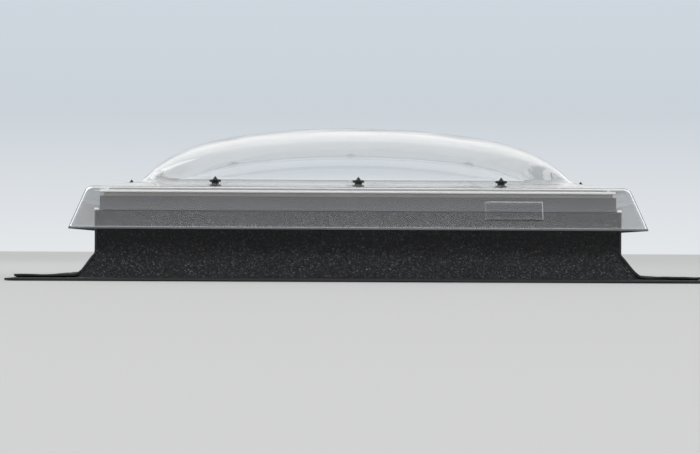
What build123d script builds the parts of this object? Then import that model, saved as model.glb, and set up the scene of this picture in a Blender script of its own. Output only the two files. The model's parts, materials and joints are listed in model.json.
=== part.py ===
from build123d import *
from math import cos, hypot, pi, radians, sin, sqrt, tan
import os

# Fixed domed rooflight on a felt-clad kerb. Millimetres, +Z up, the front faces -Y.
# The origin is the middle of the light opening, on the roof deck.
# Profiles run round a square, so a section is drawn as (distance from the middle, height).

# Kerb frame: hollow plastic profile with a foam core
clear_opening = 900.0
kerb_wall = 79.0
kerb_height = 139.5
kerb_skin = 3.0
fixing_recess_depth = 30.0
fixing_recess_height = 40.0
fixing_ledge = 6.0

# Holes in the ledge for the deck screws, two to a side
fixing_hole_radius = 2.75
fixing_hole_spread = 300.0
fixing_hole_inset = 15.0

# Felt and cant strips
felt_thickness = 4.5
felt_bend_radius = 12.0
felt_lap = 120.0
cant_run = 36.0
cant_height = 50.0

# Glazing frame
frame_gasket_height = 2.0
frame_gasket_width = 36.0
frame_gasket_inset = 9.0
lip_reach = 6.0
lip_height = 4.0
frame_wall = 4.0
band_setback = 4.0
band_height = 23.0
recess_depth = 12.0
recess_height = 8.8
nosing_setback = 0.5
nosing_height = 6.8
nosing_radius = 3.2
stud_land_width = 23.0

# Cladding of the grey band with its foot over the drip lip, and the gasket in the recess above it
cladding_thickness = 1.5
cladding_return = 8.0
nosing_gasket_width = 5.5

# Sealed double glazing
pane_edge_gap = 3.0
pane_bite = 22.0
seat_height = 8.5
glazing_gasket_height = 3.0
inner_pane_thickness = 6.4
cavity_height = 12.0
outer_pane_thickness = 4.0
pane_arris = 0.6
spacer_width = 7.0
spacer_wall = 1.0
sealant_width = 8.0
bead_gasket_height = 1.6
bead_slope = 3.0
block_length = 60.0
block_spread = 300.0

# Screws between glazing frame and kerb, three to a side
frame_screw_radius = 2.5
frame_screw_length = 40.0
frame_screw_head_radius = 5.0
frame_screw_head_height = 2.6
frame_screw_spread = 390.0
screw_clearance = 0.05

# Dome cover, one moulded sheet
sheet_thickness = 3.0
skirt_reach = 47.5
skirt_overhang = 37.9
skirt_slope = 26.8
shoulder_radius = 16.0
plan_corner_radius = 12.0
flange_slope = 10.7
flange_rise = 19.8
flange_inner_corner = 40.0
dome_foot_sink = 15.2
dome_rise = 154.7
dome_edge_power = 8
dome_crown_fall = 0.37

# The dome's sections: their reach as shares of its half width, foot first, and their points
dome_reaches = (1.0, 0.995, 0.975, 0.94, 0.885, 0.81, 0.71, 0.6, 0.48, 0.36, 0.24, 0.12, 0.05)
dome_points = 40
corner_gathering = 0.5

# Bare raised plate on the front skirt
plate_width = 117.0
plate_height = 41.0
plate_raise = 1.0
plate_x = 312.0
plate_from_bottom = 41.0
plate_corner = 1.5

# Wing knobs on studs, three to a side
knob_line_setback = 12.0
knob_spread = 294.0
knob_to_dome = 29.2
stud_radius = 3.0
stud_grip = 20.0
stud_in_knob = 7.3
flange_hole_radius = 4.5
sleeve_radius = 7.0
sleeve_clearance = 0.3
washer_radius = 7.6
washer_clearance = 0.3
washer_least_height = 0.5
knob_clearance = 0.05
knob_bore_depth = 8.0
knob_base_radius = 4.2
knob_bowl_radius = 6.0
knob_bowl_height = 4.4
knob_cap_radius = 5.6
knob_cap_height = 5.8
knob_tip_radius = 1.1
knob_height = 13.3
wing_span = 23.5
wing_centre = 3.5
wing_tip_radius = 2.5
wing_root_radius = 3.3
wing_root_reach = 3.0
wing_thickness = 3.4

# Seal between glazing frame and flange
cover_seal_setback = 12.0
cover_seal_width = 10.0

# Places that follow from the sizes
clear_half = clear_opening / 2
kerb_half = clear_half + kerb_wall
fixing_recess_half = clear_half + fixing_recess_depth
fixing_recess_top = fixing_ledge + fixing_recess_height
frame_bottom = kerb_height + frame_gasket_height
lip_half = kerb_half + lip_reach
lip_top = frame_bottom + lip_height
band_half = kerb_half - band_setback
frame_wall_half = band_half - cladding_thickness
recess_half = band_half - recess_depth
nosing_half = band_half - nosing_setback
band_top = lip_top + band_height
nosing_bottom = band_top + recess_height
frame_top = nosing_bottom + nosing_height
seat_top = frame_bottom + seat_height
pane_half = clear_half + pane_bite
rebate_half = pane_half + pane_edge_gap
inner_pane_bottom = seat_top + glazing_gasket_height
spacer_bottom = inner_pane_bottom + inner_pane_thickness
outer_pane_bottom = spacer_bottom + cavity_height
outer_pane_top = outer_pane_bottom + outer_pane_thickness
bead_bottom = outer_pane_top + bead_gasket_height
spacer_outer_half = pane_half - sealant_width
spacer_inner_half = spacer_outer_half - spacer_width
felt_half = kerb_half + felt_thickness
cant_length = hypot(cant_run, cant_height)
cant_double_area = cant_run * cant_height + felt_thickness * cant_length
felt_knee_height = (cant_double_area - cant_height * felt_thickness) / cant_run
felt_foot_half = kerb_half + (cant_double_area - cant_run * felt_thickness) / cant_height
felt_lap_half = felt_foot_half + felt_lap
skirt_half = lip_half + skirt_reach
skirt_bottom = frame_bottom - skirt_overhang
knob_line_half = rebate_half + knob_line_setback
cover_seal_half = knob_line_half + cover_seal_setback + cover_seal_width
dome_half = knob_line_half - knob_to_dome
flange_inner_height = frame_top + flange_rise
dome_foot_height = flange_inner_height - dome_foot_sink
flange_fall = tan(radians(flange_slope))
knob_seat = flange_inner_height - (knob_line_half - dome_half) * flange_fall
washer_top = knob_seat + washer_radius * flange_fall + washer_least_height
stud_top = washer_top + stud_in_knob

os.makedirs("parts", exist_ok=True)

# The sides in the order of their quarter turns from the front
sides = ("front", "right", "back", "left")

# A section's own plane: x runs outwards to the front, y runs up
side_plane = Plane(origin=(0, 0, 0), x_dir=(0, -1, 0), z_dir=(-1, 0, 0))
bar_reach = felt_lap_half + felt_thickness


def save(piece, name):
    """Writes one finished piece."""
    piece.label = name
    export_step(piece, f"parts/{name}.step")


def section(*corners, soft=(), radius=0.0):
    """A profile's section, with the corners in soft rounded."""
    with BuildSketch(side_plane) as outline:
        with BuildLine():
            Polyline(*corners, close=True)
        make_face()
        if soft:
            chosen = [
                corner
                for corner in outline.vertices()
                if any(hypot(corner.X - x, corner.Y - y) < 0.01 for x, y in soft)
            ]
            fillet(chosen, radius)
    return outline.sketch


def mitred_bar(outline):
    """The front one of four equal profiles, mitred at both ends."""
    with BuildPart() as bar:
        extrude(outline, amount=bar_reach, both=True)
        for end in (-1, 1):
            split(bisect_by=Plane(origin=(0, 0, 0), z_dir=(end, 1, 0)), keep=Keep.BOTTOM)
    return bar.part


def welded_ring(outline):
    """Four equal profiles joined at their mitres."""
    with BuildPart() as ring:
        with PolarLocations(0, 4):
            add(mitred_bar(outline))
    return ring.part


def save_four_sides(outline, name, trim_half=bar_reach):
    """Writes four separate mitred profiles, one to a side, with the tips beyond trim_half cut off."""
    with BuildPart() as bar:
        add(mitred_bar(outline))
        for end in (-1, 1):
            split(bisect_by=Plane(origin=(end * trim_half, 0, 0), z_dir=(end, 0, 0)), keep=Keep.BOTTOM)
    for turn, side in enumerate(sides):
        with BuildPart() as profile:
            with Locations(Location((0, 0, 0), (0, 0, 90 * turn))):
                add(bar.part)
        save(profile.part, f"{name}_{side}")


def round_the_square(inset, *along):
    """Places inset from the middle, at each distance along each side, turned with the side."""
    return [
        Location((0, 0, 0), (0, 0, 90 * turn)) * Location((x, -inset, 0))
        for turn in range(4)
        for x in along
    ]


# Places of knobs and frame screws
knob_places = round_the_square(knob_line_half, -knob_spread, 0, knob_spread)
frame_screw_line = (clear_half + rebate_half) / 2
frame_screw_places = round_the_square(
    frame_screw_line, -frame_screw_spread, 0, frame_screw_spread
)
frame_screw_tip = seat_top - frame_screw_length

# Kerb profiles, welded at their mitres: outer skin, inner recess with its ledge, and the chamber of the core
kerb_outline = section(
    (clear_half, 0),
    (kerb_half, 0),
    (kerb_half, kerb_height),
    (clear_half, kerb_height),
    (clear_half, fixing_recess_top),
    (fixing_recess_half, fixing_recess_top),
    (fixing_recess_half, fixing_ledge),
    (clear_half, fixing_ledge),
)
core_outline = section(
    (fixing_recess_half + kerb_skin, kerb_skin),
    (kerb_half - kerb_skin, kerb_skin),
    (kerb_half - kerb_skin, kerb_height - kerb_skin),
    (clear_half + kerb_skin, kerb_height - kerb_skin),
    (clear_half + kerb_skin, fixing_recess_top + kerb_skin),
    (fixing_recess_half + kerb_skin, fixing_recess_top + kerb_skin),
)
fixing_line = clear_half + fixing_hole_inset
with BuildPart() as kerb_bar:
    add(mitred_bar(kerb_outline))
    add(mitred_bar(core_outline), mode=Mode.SUBTRACT)
    with Locations((-fixing_hole_spread, -fixing_line), (fixing_hole_spread, -fixing_line)):
        Cylinder(
            fixing_hole_radius,
            fixing_ledge,
            align=(Align.CENTER, Align.CENTER, Align.MIN),
            mode=Mode.SUBTRACT,
        )
    with Locations(*frame_screw_places[:3]):
        with Locations((0, 0, frame_screw_tip)):
            Cylinder(
                frame_screw_radius + screw_clearance,
                frame_screw_length,
                align=(Align.CENTER, Align.CENTER, Align.MIN),
                mode=Mode.SUBTRACT,
            )
for turn, side in enumerate(sides):
    with BuildPart() as kerb_profile:
        with Locations(Location((0, 0, 0), (0, 0, 90 * turn))):
            add(kerb_bar.part)
    save(kerb_profile.part, f"kerb_profile_{side}")

with BuildPart() as kerb_insulation:
    add(welded_ring(core_outline))
    with Locations(*frame_screw_places):
        with Locations((0, 0, frame_screw_tip)):
            Cylinder(
                frame_screw_radius + screw_clearance,
                frame_screw_length,
                align=(Align.CENTER, Align.CENTER, Align.MIN),
                mode=Mode.SUBTRACT,
            )
save(kerb_insulation.part, "kerb_insulation")

# Cant strips in the angle between kerb and deck
save_four_sides(
    section((kerb_half, 0), (kerb_half + cant_run, 0), (kerb_half, cant_height)), "cant_strip"
)

# Felt: up the kerb, over the cant and out on the deck. The front and back sheets also cover the corners.
felt_outline = section(
    (kerb_half, kerb_height),
    (kerb_half, cant_height),
    (kerb_half + cant_run, 0),
    (felt_lap_half, 0),
    (felt_lap_half, felt_thickness),
    (felt_foot_half, felt_thickness),
    (felt_half, felt_knee_height),
    (felt_half, kerb_height),
    soft=((felt_foot_half, felt_thickness), (felt_half, felt_knee_height)),
    radius=felt_bend_radius,
)
felt_seam_half = felt_foot_half + felt_bend_radius
felt_ear = felt_lap_half - felt_seam_half
ear_places = [
    (side * (felt_seam_half + felt_ear / 2), end * (felt_seam_half + felt_ear / 2))
    for side in (-1, 1)
    for end in (-1, 1)
]
with BuildPart() as felt_corners:
    with BuildSketch():
        with Locations(*ear_places):
            Rectangle(felt_ear, felt_ear)
    extrude(amount=felt_thickness)
for turn, side in enumerate(sides):
    with BuildPart() as felt_sheet:
        with Locations(Location((0, 0, 0), (0, 0, 90 * turn))):
            add(mitred_bar(felt_outline))
        if side in ("right", "left"):
            add(felt_corners.part, mode=Mode.SUBTRACT)
        else:
            near_end = 1 if side == "back" else -1
            with BuildSketch():
                with Locations(*[place for place in ear_places if place[1] * near_end > 0]):
                    Rectangle(felt_ear, felt_ear)
            extrude(amount=felt_thickness)
    save(felt_sheet.part, f"felt_{side}")

# Gasket between kerb and glazing frame
gasket_half = kerb_half - frame_gasket_inset
with BuildPart() as frame_gasket:
    add(
        welded_ring(
            section(
                (gasket_half - frame_gasket_width, kerb_height),
                (gasket_half, kerb_height),
                (gasket_half, frame_bottom),
                (gasket_half - frame_gasket_width, frame_bottom),
            )
        )
    )
save(frame_gasket.part, "frame_gasket")

# Glazing frame: drip lip, wall behind the cladding, recess, nosing, stud land and pane seat
frame_outline = section(
    (clear_half, frame_bottom),
    (lip_half, frame_bottom),
    (lip_half, lip_top),
    (frame_wall_half, lip_top),
    (frame_wall_half, band_top),
    (recess_half, band_top),
    (recess_half, nosing_bottom),
    (nosing_half, nosing_bottom),
    (nosing_half, frame_top),
    (rebate_half, frame_top),
    (rebate_half, seat_top),
    (clear_half, seat_top),
    soft=((nosing_half, nosing_bottom), (nosing_half, frame_top)),
    radius=nosing_radius,
)
chamber_outline = section(
    (rebate_half + stud_land_width, frame_bottom + frame_wall),
    (frame_wall_half - frame_wall, frame_bottom + frame_wall),
    (frame_wall_half - frame_wall, band_top - frame_wall),
    (recess_half - frame_wall, band_top - frame_wall),
    (recess_half - frame_wall, frame_top - frame_wall),
    (rebate_half + stud_land_width, frame_top - frame_wall),
)
with BuildPart() as glazing_frame:
    add(welded_ring(frame_outline))
    add(welded_ring(chamber_outline), mode=Mode.SUBTRACT)
    with Locations(*knob_places):
        with Locations((0, 0, frame_top - stud_grip)):
            Cylinder(
                stud_radius + screw_clearance,
                stud_grip,
                align=(Align.CENTER, Align.CENTER, Align.MIN),
                mode=Mode.SUBTRACT,
            )
    with Locations(*frame_screw_places):
        with Locations((0, 0, seat_top)):
            CounterSinkHole(
                frame_screw_radius + screw_clearance,
                frame_screw_head_radius + screw_clearance,
                depth=seat_height,
            )
save(glazing_frame.part, "glazing_frame")

with BuildPart() as frame_screws:
    with Locations(*frame_screw_places):
        with Locations((0, 0, frame_screw_tip)):
            Cylinder(
                frame_screw_radius,
                frame_screw_length - frame_screw_head_height,
                align=(Align.CENTER, Align.CENTER, Align.MIN),
            )
        with Locations((0, 0, seat_top - frame_screw_head_height)):
            Cone(
                frame_screw_radius,
                frame_screw_head_radius,
                frame_screw_head_height,
                align=(Align.CENTER, Align.CENTER, Align.MIN),
            )
save(frame_screws.part, "frame_screws")

# Cladding hooks over the band's top edge, and its foot covers the drip lip up to the corners
save_four_sides(
    section(
        (frame_wall_half, lip_top),
        (frame_wall_half, band_top),
        (band_half - cladding_return, band_top),
        (band_half - cladding_return, band_top + cladding_thickness),
        (band_half, band_top + cladding_thickness),
        (band_half, lip_top + cladding_thickness),
        (lip_half + cladding_thickness, lip_top + cladding_thickness),
        (lip_half + cladding_thickness, frame_bottom),
        (lip_half, frame_bottom),
        (lip_half, lip_top),
    ),
    "cladding",
    trim_half=band_half,
)
with BuildPart() as nosing_gasket:
    add(
        welded_ring(
            section(
                (recess_half, band_top + cladding_thickness),
                (recess_half + nosing_gasket_width, band_top + cladding_thickness),
                (recess_half + nosing_gasket_width, nosing_bottom),
                (recess_half, nosing_bottom),
            )
        )
    )
save(nosing_gasket.part, "nosing_gasket")

# Sealed glazing on its gasket, with its spacer, edge sealant, blocks and beads
with BuildPart() as glazing_gasket:
    add(
        welded_ring(
            section(
                (clear_half, seat_top),
                (pane_half, seat_top),
                (pane_half, inner_pane_bottom),
                (clear_half, inner_pane_bottom),
            )
        )
    )
save(glazing_gasket.part, "glazing_gasket")


def pane(bottom, thickness):
    """One sheet of glass with arrised edges."""
    with BuildPart() as sheet:
        with BuildSketch(Plane.XY.offset(bottom)):
            Rectangle(2 * pane_half, 2 * pane_half)
        extrude(amount=thickness)
        chamfer(sheet.faces().filter_by(Axis.Z).edges(), pane_arris)
    return sheet.part


save(pane(inner_pane_bottom, inner_pane_thickness), "inner_pane")
save(pane(outer_pane_bottom, outer_pane_thickness), "outer_pane")

with BuildPart() as pane_spacer:
    add(
        welded_ring(
            section(
                (spacer_inner_half, spacer_bottom),
                (spacer_outer_half, spacer_bottom),
                (spacer_outer_half, outer_pane_bottom),
                (spacer_inner_half, outer_pane_bottom),
            )
        )
    )
    add(
        welded_ring(
            section(
                (spacer_inner_half + spacer_wall, spacer_bottom + spacer_wall),
                (spacer_outer_half - spacer_wall, spacer_bottom + spacer_wall),
                (spacer_outer_half - spacer_wall, outer_pane_bottom - spacer_wall),
                (spacer_inner_half + spacer_wall, outer_pane_bottom - spacer_wall),
            )
        ),
        mode=Mode.SUBTRACT,
    )
save(pane_spacer.part, "pane_spacer")

with BuildPart() as edge_sealant:
    add(
        welded_ring(
            section(
                (spacer_outer_half, spacer_bottom),
                (pane_half, spacer_bottom),
                (pane_half, outer_pane_bottom),
                (spacer_outer_half, outer_pane_bottom),
            )
        )
    )
save(edge_sealant.part, "edge_sealant")

with BuildPart() as setting_blocks:
    with BuildSketch(Plane.XY.offset(inner_pane_bottom)):
        with Locations(*round_the_square(pane_half + pane_edge_gap / 2, -block_spread, block_spread)):
            Rectangle(block_length, pane_edge_gap)
    extrude(amount=outer_pane_top - inner_pane_bottom)
save(setting_blocks.part, "setting_blocks")

with BuildPart() as bead_gasket:
    add(
        welded_ring(
            section(
                (clear_half, outer_pane_top),
                (pane_half, outer_pane_top),
                (pane_half, bead_bottom),
                (clear_half, bead_bottom),
            )
        )
    )
save(bead_gasket.part, "bead_gasket")

save_four_sides(
    section(
        (clear_half, bead_bottom),
        (rebate_half, bead_bottom),
        (rebate_half, frame_top),
        (clear_half + bead_slope, frame_top),
    ),
    "glazing_bead",
)


# The dome's height over a square is the product of this curve along X and along Y.
def crown(share):
    """Height of the curve at a share of the half width: steep at the edge, gently crowned inside."""
    return sqrt(max(0.0, 1 - share**dome_edge_power)) * (1 - dome_crown_fall * share**2)


def crown_reach(across, along, level):
    """How far along a direction the dome stands at least at level."""
    near, far = 0.0, 1 / max(across, along)
    for _ in range(48):
        middle = (near + far) / 2
        if crown(middle * across) * crown(middle * along) > level:
            near = middle
        else:
            far = middle
    return near


def dome_ring(half, level):
    """Outline of the dome at one level: nearly square at the foot, nearly round at the crown."""
    ring = []
    for step in range(dome_points):
        turn = 2 * pi * step / dome_points
        across = abs(cos(turn)) ** corner_gathering
        along = abs(sin(turn)) ** corner_gathering
        reach = half * crown_reach(across, along, level)
        x = reach * across * (1 if cos(turn) >= 0 else -1)
        y = reach * along * (1 if sin(turn) >= 0 else -1)
        ring.append((x, y))
    return ring


def cover_form(inset):
    """The cover's outer form, or the space under it where inset is the sheet's thickness."""
    lean = tan(radians(skirt_slope))
    foot_drop = inset
    foot_half = skirt_half - inset / cos(radians(skirt_slope)) + foot_drop * lean
    foot = skirt_bottom - foot_drop
    top = flange_inner_height - inset / cos(radians(flange_slope))
    top_half = dome_half - inset
    top += inset * flange_fall
    rise = (top - foot + (top_half - foot_half) * flange_fall) / (1 - lean * flange_fall)
    shoulder_half = foot_half - rise * lean
    with BuildPart() as form:
        for low, low_half, low_corner, high, high_half, high_corner in (
            (foot, foot_half, plan_corner_radius, foot + rise, shoulder_half, plan_corner_radius),
            (foot + rise, shoulder_half, plan_corner_radius, top, top_half, flange_inner_corner),
        ):
            with BuildSketch(Plane.XY.offset(low)):
                RectangleRounded(2 * low_half, 2 * low_half, low_corner)
            with BuildSketch(Plane.XY.offset(high)):
                RectangleRounded(2 * high_half, 2 * high_half, high_corner)
            loft(ruled=True)
        shoulder = [
            edge for edge in form.edges() if abs(edge.center().Z - foot - rise) < 0.01
        ]
        fillet(shoulder, shoulder_radius - inset)
    with BuildPart() as dome:
        for share in dome_reaches:
            height = dome_foot_height + (dome_rise - inset) * crown(share)
            points = dome_ring(dome_half - inset, crown(share))
            with BuildSketch(Plane.XY.offset(height)):
                with BuildLine():
                    add(
                        Edge.make_spline(
                            [Vector(x, y) for x, y in points],
                            periodic=True,
                            parameters=[step / dome_points for step in range(dome_points + 1)],
                        )
                    )
                make_face()
        loft()
    with BuildPart() as cover:
        add(form.part)
        add(dome.part)
    return cover.part


under_cover = cover_form(sheet_thickness)
with BuildPart() as dome_cover:
    add(cover_form(0.0))
    add(under_cover, mode=Mode.SUBTRACT)
    with Locations(*knob_places):
        Cylinder(
            flange_hole_radius,
            2 * flange_inner_height,
            align=(Align.CENTER, Align.CENTER, Align.MIN),
            mode=Mode.SUBTRACT,
        )
    skirt_face = Plane(
        origin=(plate_x, -skirt_half, skirt_bottom),
        x_dir=(1, 0, 0),
        z_dir=(0, -cos(radians(skirt_slope)), sin(radians(skirt_slope))),
    )
    with BuildSketch(skirt_face):
        with Locations((0, plate_from_bottom)):
            RectangleRounded(plate_width, plate_height, plate_corner)
    extrude(amount=plate_raise)
save(dome_cover.part, "dome_cover")

# Foam strip that the flange rests on
with BuildPart() as cover_seal:
    add(
        welded_ring(
            section(
                (cover_seal_half - cover_seal_width, frame_top),
                (cover_seal_half, frame_top),
                (cover_seal_half, flange_inner_height),
                (cover_seal_half - cover_seal_width, flange_inner_height),
            )
        )
    )
    add(under_cover, mode=Mode.INTERSECT)
save(cover_seal.part, "cover_seal")

# At a knob, the flange's top face and underside as planes through the knob's axis
flange_normal = (0, -sin(radians(flange_slope)), cos(radians(flange_slope)))
flange_top_plane = Plane(origin=(0, 0, knob_seat), x_dir=(1, 0, 0), z_dir=flange_normal)
flange_under_plane = flange_top_plane.offset(-sheet_thickness)

with BuildPart() as sleeve_form:
    with BuildSketch(Plane.XY.offset(frame_top)):
        Circle(sleeve_radius)
        Circle(stud_radius + sleeve_clearance, mode=Mode.SUBTRACT)
    extrude(amount=knob_seat - frame_top)
    split(bisect_by=flange_under_plane, keep=Keep.BOTTOM)

with BuildPart() as stud_sleeves:
    with Locations(*knob_places):
        add(sleeve_form.part)
save(stud_sleeves.part, "stud_sleeves")

with BuildPart() as cover_studs:
    with Locations(*knob_places):
        with Locations((0, 0, frame_top - stud_grip)):
            Cylinder(
                stud_radius,
                stud_top - frame_top + stud_grip,
                align=(Align.CENTER, Align.CENTER, Align.MIN),
            )
save(cover_studs.part, "cover_studs")

# Washer: flat on top, its underside cut to the flange's slope
with BuildPart() as washer_form:
    with BuildSketch(Plane.XY.offset(frame_top)):
        Circle(washer_radius)
        Circle(stud_radius + washer_clearance, mode=Mode.SUBTRACT)
    extrude(amount=washer_top - frame_top)
    split(bisect_by=flange_top_plane, keep=Keep.TOP)

# Wing knob: turned hub with a pointed cap, two tapered wings and a blind bore
with BuildPart() as knob_form:
    with BuildSketch(Plane.XZ):
        with BuildLine():
            Polyline(
                (0, washer_top + knob_height),
                (0, washer_top),
                (knob_base_radius, washer_top),
                (knob_bowl_radius, washer_top + knob_bowl_height),
                (knob_cap_radius, washer_top + knob_cap_height),
                (knob_tip_radius, washer_top + knob_height - knob_tip_radius),
            )
            RadiusArc(
                (knob_tip_radius, washer_top + knob_height - knob_tip_radius),
                (0, washer_top + knob_height),
                -knob_tip_radius,
            )
        make_face()
    revolve(axis=Axis.Z)
    for side in (-1, 1):
        with BuildSketch(Plane.XZ.offset(-wing_thickness / 2)):
            with Locations((side * wing_root_reach, washer_top + wing_centre)):
                Circle(wing_root_radius)
            with Locations((side * (wing_span / 2 - wing_tip_radius), washer_top + wing_centre)):
                Circle(wing_tip_radius)
            make_hull()
        extrude(amount=wing_thickness)
    with BuildSketch(Plane.XY.offset(washer_top)):
        Circle(stud_radius + knob_clearance)
    extrude(amount=knob_bore_depth, mode=Mode.SUBTRACT)

for number, place in enumerate(knob_places, start=1):
    with BuildPart() as washer:
        with Locations(place):
            add(washer_form.part)
    save(washer.part, f"washer_{number}")
    with BuildPart() as wing_knob:
        with Locations(place):
            add(knob_form.part)
    save(wing_knob.part, f"wing_knob_{number}")
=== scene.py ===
"""Dresses a fixed domed rooflight: clear cover, white frame, wing knobs and felt-clad kerb."""

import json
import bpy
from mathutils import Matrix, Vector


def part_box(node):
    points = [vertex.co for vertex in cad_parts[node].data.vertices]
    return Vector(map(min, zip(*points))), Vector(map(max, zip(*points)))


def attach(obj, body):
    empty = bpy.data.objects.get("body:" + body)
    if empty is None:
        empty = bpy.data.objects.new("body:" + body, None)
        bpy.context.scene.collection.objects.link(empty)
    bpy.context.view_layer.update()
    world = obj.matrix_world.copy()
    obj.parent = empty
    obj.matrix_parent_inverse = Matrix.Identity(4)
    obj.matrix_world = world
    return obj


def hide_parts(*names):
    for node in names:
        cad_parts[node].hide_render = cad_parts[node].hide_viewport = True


bl_info = {
    "name": "Domed rooflight",
    "version": (1, 0, 0),
    "blender": (4, 5, 0),
    "location": "View3D > Sidebar > Rooflight",
    "description": "Builds the look of a fixed domed rooflight round its frame",
    "category": "Object",
}

from math import copysign, cos, pi, radians, sin, sqrt, tan

import bmesh
import bpy
from mathutils import Matrix, Vector, noise

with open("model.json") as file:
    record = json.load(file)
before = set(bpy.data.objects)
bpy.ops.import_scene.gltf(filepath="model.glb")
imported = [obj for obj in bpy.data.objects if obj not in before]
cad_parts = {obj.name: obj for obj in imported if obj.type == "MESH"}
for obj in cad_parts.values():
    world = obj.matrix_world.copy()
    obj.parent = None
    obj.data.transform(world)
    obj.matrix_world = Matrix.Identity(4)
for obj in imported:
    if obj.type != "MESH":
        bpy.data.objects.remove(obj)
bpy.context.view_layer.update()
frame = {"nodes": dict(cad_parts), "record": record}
NODES = frame["nodes"]
KNOB_COUNT = 12
KNOBS_TO_A_SIDE = 3

# What the colour properties share
COLOUR = {"subtype": "COLOR", "size": 3, "min": 0.0, "max": 1.0}

# Sizes read from the frame, in metres
SKIRT_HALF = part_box("dome_cover")[1].x
SKIRT_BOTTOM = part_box("dome_cover")[0].z
CROWN_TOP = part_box("dome_cover")[1].z
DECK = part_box("felt_front")[0].z
FELT_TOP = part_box("felt_front")[1].z
LAP_HALF = -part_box("felt_front")[0].y
SEAM_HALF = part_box("felt_right")[1].y
KERB_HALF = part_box("kerb_profile_right")[1].x


class RooflightSizes(bpy.types.PropertyGroup):
    """Sizes that a user would change."""

    sheet: bpy.props.FloatProperty(name="Cover sheet", default=0.0029, unit="LENGTH")
    dome_half: bpy.props.FloatProperty(name="Dome half width", default=0.4578, unit="LENGTH")
    dome_foot: bpy.props.FloatProperty(
        name="Height where the dome's curve starts", default=0.1887, unit="LENGTH"
    )
    flange_height: bpy.props.FloatProperty(
        name="Flange height at the dome", default=0.2030, unit="LENGTH"
    )
    flange_slope: bpy.props.FloatProperty(
        name="Flange slope", default=radians(9.0), unit="ROTATION"
    )
    skirt_slope: bpy.props.FloatProperty(name="Skirt slope", default=radians(21.0), unit="ROTATION")
    shoulder_radius: bpy.props.FloatProperty(name="Shoulder radius", default=0.016, unit="LENGTH")
    plan_corner: bpy.props.FloatProperty(name="Skirt corner radius", default=0.009, unit="LENGTH")
    inner_corner: bpy.props.FloatProperty(
        name="Flange's inner corner radius", default=0.04, unit="LENGTH"
    )
    foot_run: bpy.props.FloatProperty(
        name="Fillet at the dome's foot", default=0.0075, unit="LENGTH"
    )
    felt: bpy.props.FloatProperty(name="Felt thickness", default=0.0045, unit="LENGTH")
    felt_bend: bpy.props.FloatProperty(name="Felt bend radius", default=0.012, unit="LENGTH")
    cant_run: bpy.props.FloatProperty(name="Cant width", default=0.036, unit="LENGTH")
    cant_height: bpy.props.FloatProperty(name="Cant height", default=0.05, unit="LENGTH")
    knob_height: bpy.props.FloatProperty(name="Knob height", default=0.0124, unit="LENGTH")
    wing_reach: bpy.props.FloatProperty(name="Knob's wing reach", default=0.0121, unit="LENGTH")


class RooflightColours(bpy.types.PropertyGroup):
    """Colours that a user would change."""

    felt_dark: bpy.props.FloatVectorProperty(
        name="Felt up the wall", default=(0.0064, 0.0066, 0.0073), **COLOUR
    )
    # Lighter felt at the deck: dusty, with painted top light on the cant and lap
    felt_painted_light_and_dust: bpy.props.FloatVectorProperty(
        name="Felt near the deck", default=(0.0195, 0.0199, 0.0215), **COLOUR
    )
    # Lighter felt behind the skirt, above its lower edge
    felt_behind_skirt: bpy.props.FloatVectorProperty(
        name="Felt under the skirt", default=(0.0322, 0.0332, 0.0378), **COLOUR
    )
    frame_white: bpy.props.FloatVectorProperty(
        name="Frame", default=(0.86, 0.86, 0.844), **COLOUR
    )
    cladding: bpy.props.FloatVectorProperty(
        name="Cladding", default=(0.0615, 0.064, 0.0735), **COLOUR
    )


def blend(low, high, share):
    return low + (high - low) * share


def smooth_step(low, high, value):
    share = min(1.0, max(0.0, (value - low) / (high - low)))
    return share * share * (3 - 2 * share)


def quarter_turn(form, turn):
    """Turns a form drawn at the front to one of the four sides."""
    turned = Matrix.Rotation(pi / 2 * turn, 3, "Z")
    bmesh.ops.rotate(form, verts=form.verts, cent=(0, 0, 0), matrix=turned)


def face_up(form):
    """Makes the faces of an open sheet agree, with its upper side out."""
    bmesh.ops.recalc_face_normals(form, faces=form.faces)
    if sum(face.normal.z for face in form.faces) < 0:
        bmesh.ops.reverse_faces(form, faces=form.faces)


def make_piece(name, form, material, body="rooflight"):
    """Turns a finished form into a smooth-shaded piece that rides on a body."""
    mesh = bpy.data.meshes.new(name)
    form.to_mesh(mesh)
    form.free()
    for face in mesh.polygons:
        face.use_smooth = True
    mesh.materials.append(material)
    piece = bpy.data.objects.new(name, mesh)
    bpy.context.scene.collection.objects.link(piece)
    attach(piece, body)
    return piece


# Cover

DOME_RINGS = 46
FOOT_RINGS = 6
FLANGE_RINGS = 7
SHOULDER_RINGS = 8
SKIRT_RINGS = 9
LAST_SHARE = 0.992  # of the dome's half width, where the fillet takes over
CROWN_POWER = 8  # the higher, the steeper the dome's edge
CROWN_FALL = 0.37  # how much lower the crown's gentle curve lies at the edge
DOME_RISE = 0.34  # the dome's rise as a share of its half width
EDGE_WEIGHT = 1.6  # brings the rings closer together at the dome's edge
CORNER_WEIGHT = 1.6  # brings each ring's points closer together at the corners
HALVINGS = 40  # in the search for the reach of a level
SHARP_ANGLE = 1.0  # the corners of the sheet's cut edge turn by more than this
CUT_EDGE_BAND = 0.004  # and lie within this height of the skirt's lower edge
CUT_EDGE_ROUND = 0.0005

# The raised plate: its middle to the right and up the skirt, its size and its edge
PLATE_X = 0.312
PLATE_UP = 0.041
PLATE_WIDTH = 0.117
PLATE_HEIGHT = 0.041
PLATE_RIM = 0.0003  # a flat rim round the foot of the bevel
PLATE_BEVEL = 0.0016
PLATE_RAISE = 0.0014
PLATE_LINE_HALF = 0.0009  # half the width of the line of painted highlight and painted shade on its edge
PLATE_FACES_BELOW = 0.178  # keeps the cuts for the plate off the shoulder
FRONT_FROM = -0.4  # keeps the line of painted highlight and shade on the front skirt


def crown(share):
    """Height of the dome's curve at a share of its half width."""
    return sqrt(max(0.0, 1 - share**CROWN_POWER)) * (1 - CROWN_FALL * share**2)


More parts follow.
